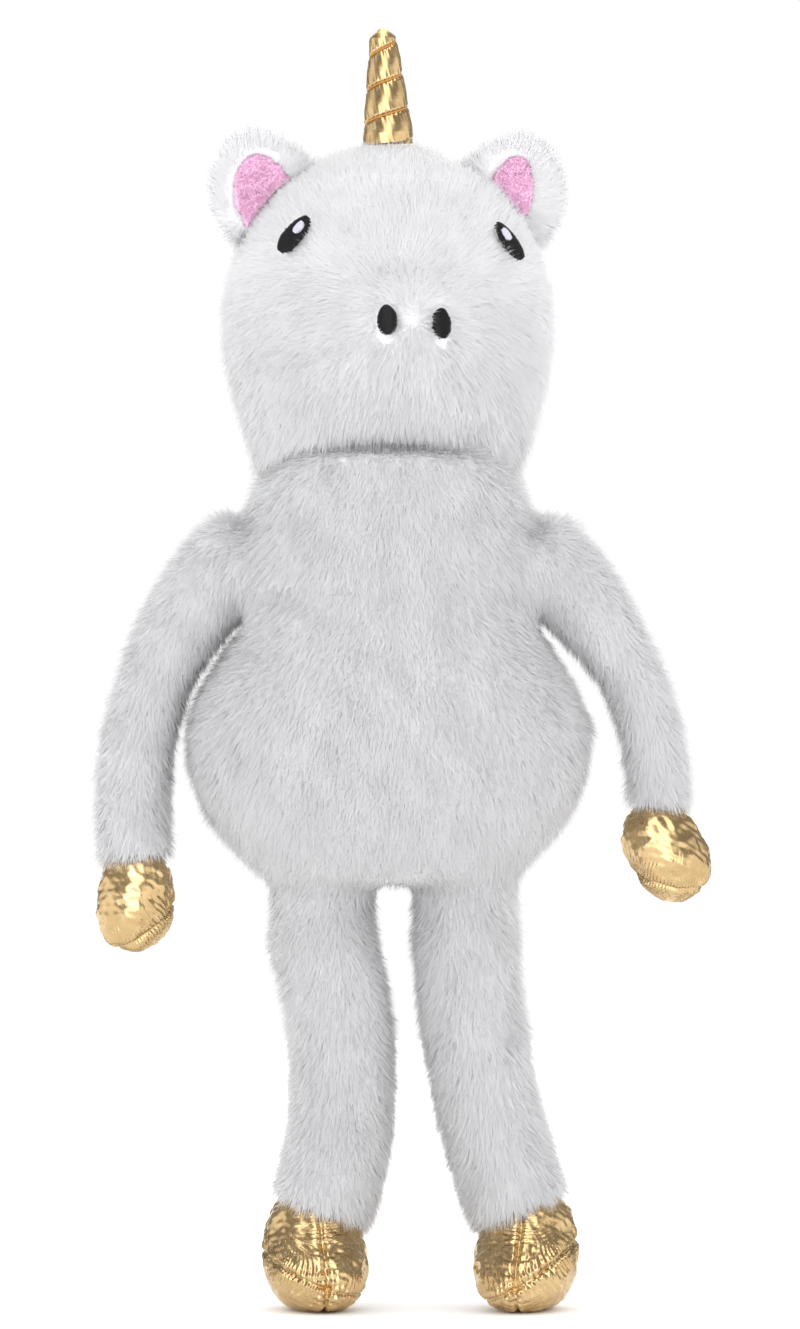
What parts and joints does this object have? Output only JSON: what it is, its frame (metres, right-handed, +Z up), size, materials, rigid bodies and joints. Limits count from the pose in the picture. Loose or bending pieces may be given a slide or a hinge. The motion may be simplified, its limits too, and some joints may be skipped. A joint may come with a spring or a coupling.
{
  "type": "plush unicorn",
  "caption": "Long-legged soft toy unicorn with a white fur skin, gold fabric horn and hooves, pink ear linings and embroidered eyes and nostrils.",
  "frame": {"origin": "middle of the bounding box on the ground under the soles", "axes": "+Z up through the horn, the face looks towards -Y, the toy's own left is +X"},
  "size_m": [0.388, 0.183, 0.8019],
  "materials": {
    "white_fur": "long-pile faux fur, soft sheen, combed downwards",
    "pink_plush": "short-pile plush",
    "gold_lame": "crinkled metallic foil fabric",
    "black_embroidery": "satin-stitched thread",
    "pale_embroidery": "satin-stitched thread",
    "amber_thread": "twisted sewing thread",
    "white_thread": "twisted sewing thread",
    "fibre_stuffing": "loose polyester fibre fill"
  },
  "bodies": {
    "torso": {"torso_front_panel": "white_fur", "torso_back_panel": "white_fur", "torso_stuffing": "fibre_stuffing", "closing_seam_thread": "white_thread"},
    "head": {"head_face_panel": "white_fur", "head_back_panel": "white_fur", "head_stuffing": "fibre_stuffing", "ear_left_shell": "white_fur", "ear_right_shell": "white_fur", "ear_left_lining": "pink_plush", "ear_right_lining": "pink_plush", "eye_left": "black_embroidery", "eye_right": "black_embroidery", "eye_left_glint": "pale_embroidery", "eye_right_glint": "pale_embroidery", "nostril_left": "black_embroidery", "nostril_right": "black_embroidery", "horn_cover": "gold_lame", "horn_stuffing": "fibre_stuffing", "horn_thread": "amber_thread"},
    "arm_left": {"arm_left_sleeve": "white_fur", "arm_left_stuffing": "fibre_stuffing"},
    "arm_right": {"arm_right_sleeve": "white_fur", "arm_right_stuffing": "fibre_stuffing"},
    "hand_left": {"hand_left_wrap": "gold_lame", "hand_left_sole": "gold_lame", "hand_left_stuffing": "fibre_stuffing"},
    "hand_right": {"hand_right_wrap": "gold_lame", "hand_right_sole": "gold_lame", "hand_right_stuffing": "fibre_stuffing"},
    "leg_left": {"leg_left_sleeve": "white_fur", "leg_left_stuffing": "fibre_stuffing"},
    "leg_right": {"leg_right_sleeve": "white_fur", "leg_right_stuffing": "fibre_stuffing"},
    "foot_left": {"foot_left_outer_panel": "gold_lame", "foot_left_inner_panel": "gold_lame", "foot_left_sole": "gold_lame", "foot_left_stuffing": "fibre_stuffing"},
    "foot_right": {"foot_right_outer_panel": "gold_lame", "foot_right_inner_panel": "gold_lame", "foot_right_sole": "gold_lame", "foot_right_stuffing": "fibre_stuffing"}
  },
  "joints": [
    {"name": "neck_nod", "type": "hinge", "parent": "torso", "child": "head", "pos_m": [-0.00878, 0.0069, 0.63454], "axis": [1, 0, 0], "range_deg": [-18, 14], "stiffness_Nm_per_rad": 2.5},
    {"name": "shoulder_left", "type": "hinge", "parent": "torso", "child": "arm_left", "pos_m": [0.09022, 0.0069, 0.466], "axis": [-1, 0, 0], "range_deg": [-40, 100], "stiffness_Nm_per_rad": 0.8},
    {"name": "shoulder_right", "type": "hinge", "parent": "torso", "child": "arm_right", "pos_m": [-0.10778, 0.0069, 0.466], "axis": [-1, 0, 0], "range_deg": [-40, 100], "stiffness_Nm_per_rad": 0.8},
    {"name": "wrist_left", "type": "hinge", "parent": "arm_left", "child": "hand_left", "pos_m": [0.16022, 0.0069, 0.295], "axis": [0, -1, 0], "range_deg": [-40, 10], "stiffness_Nm_per_rad": 0.3},
    {"name": "wrist_right", "type": "hinge", "parent": "arm_right", "child": "hand_right", "pos_m": [-0.16678, 0.0069, 0.266], "axis": [0, 1, 0], "range_deg": [-20, 25], "stiffness_Nm_per_rad": 0.3},
    {"name": "hip_left", "type": "hinge", "parent": "torso", "child": "leg_left", "pos_m": [0.03922, 0.0069, 0.2319], "axis": [-1, 0, 0], "range_deg": [-20, 90], "stiffness_Nm_per_rad": 6},
    {"name": "hip_right", "type": "hinge", "parent": "torso", "child": "leg_right", "pos_m": [-0.04978, 0.0069, 0.2319], "axis": [-1, 0, 0], "range_deg": [-20, 90], "stiffness_Nm_per_rad": 6},
    {"name": "ankle_left", "type": "hinge", "parent": "leg_left", "child": "foot_left", "pos_m": [0.07856, 0.0069, 0.04698], "axis": [-1, 0, 0], "range_deg": [-25, 17], "stiffness_Nm_per_rad": 8},
    {"name": "ankle_right", "type": "hinge", "parent": "leg_right", "child": "foot_right", "pos_m": [-0.05578, 0.0069, 0.04686], "axis": [-1, 0, 0], "range_deg": [-25, 17], "stiffness_Nm_per_rad": 8}
  ]
}
